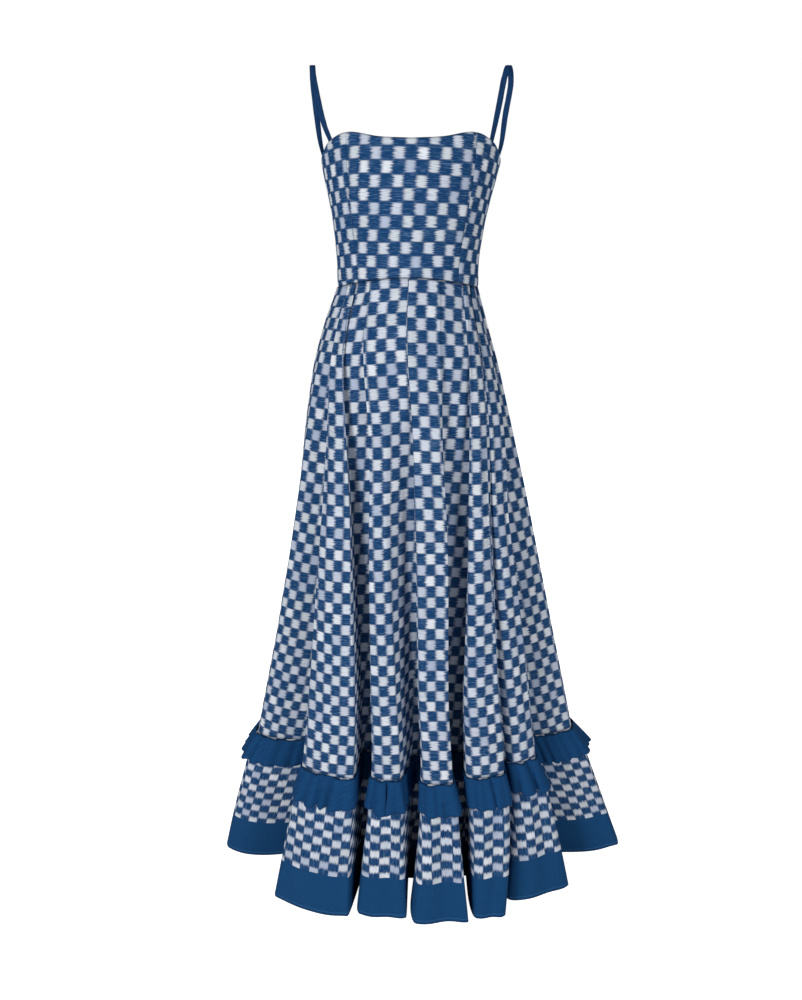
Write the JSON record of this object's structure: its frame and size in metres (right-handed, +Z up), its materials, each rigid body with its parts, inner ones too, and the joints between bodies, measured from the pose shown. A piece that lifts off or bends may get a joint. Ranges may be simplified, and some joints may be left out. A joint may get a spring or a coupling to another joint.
{
  "type": "sleeveless maxi sundress",
  "caption": "Hollow worn maxi sundress: fitted bodice, narrow straps, pleated check skirt, blue ruffle and bordered flounce, back zip.",
  "frame": {"origin": "midway between the wearer's two shoulders, at the undersides of the strap tops", "axes": "+X to the viewer's right seen from the front, +Y to the back, +Z up"},
  "size_m": [0.8358, 0.4428, 1.4663],
  "materials": {
    "check_cotton": "matte handwoven cotton with a blue and white check",
    "blue_cotton": "matte plain blue cotton",
    "zip_metal": "blue lacquered zip slider and tab"
  },
  "bodies": {
    "dress": {"bodice_front": "check_cotton", "side_front_left": "check_cotton", "side_front_right": "check_cotton", "bodice_back_left": "check_cotton", "bodice_back_right": "check_cotton", "strap_left": "blue_cotton", "strap_right": "blue_cotton", "skirt_front": "check_cotton", "skirt_back_left": "check_cotton", "skirt_back_right": "check_cotton", "flounce_front": "check_cotton", "flounce_back": "check_cotton", "ruffle_front": "blue_cotton", "ruffle_back": "blue_cotton", "zip_tape": "blue_cotton", "zip_slider": "zip_metal"},
    "pull_tab": {"zip_pull_tab": "zip_metal"}
  },
  "joints": [
    {"name": "pull_tab_hinge", "type": "hinge", "parent": "dress", "child": "pull_tab", "pos_m": [-0.00068, 0.0973, -0.1515], "axis": [1, 0, 0], "range_deg": [0, 170]}
  ]
}
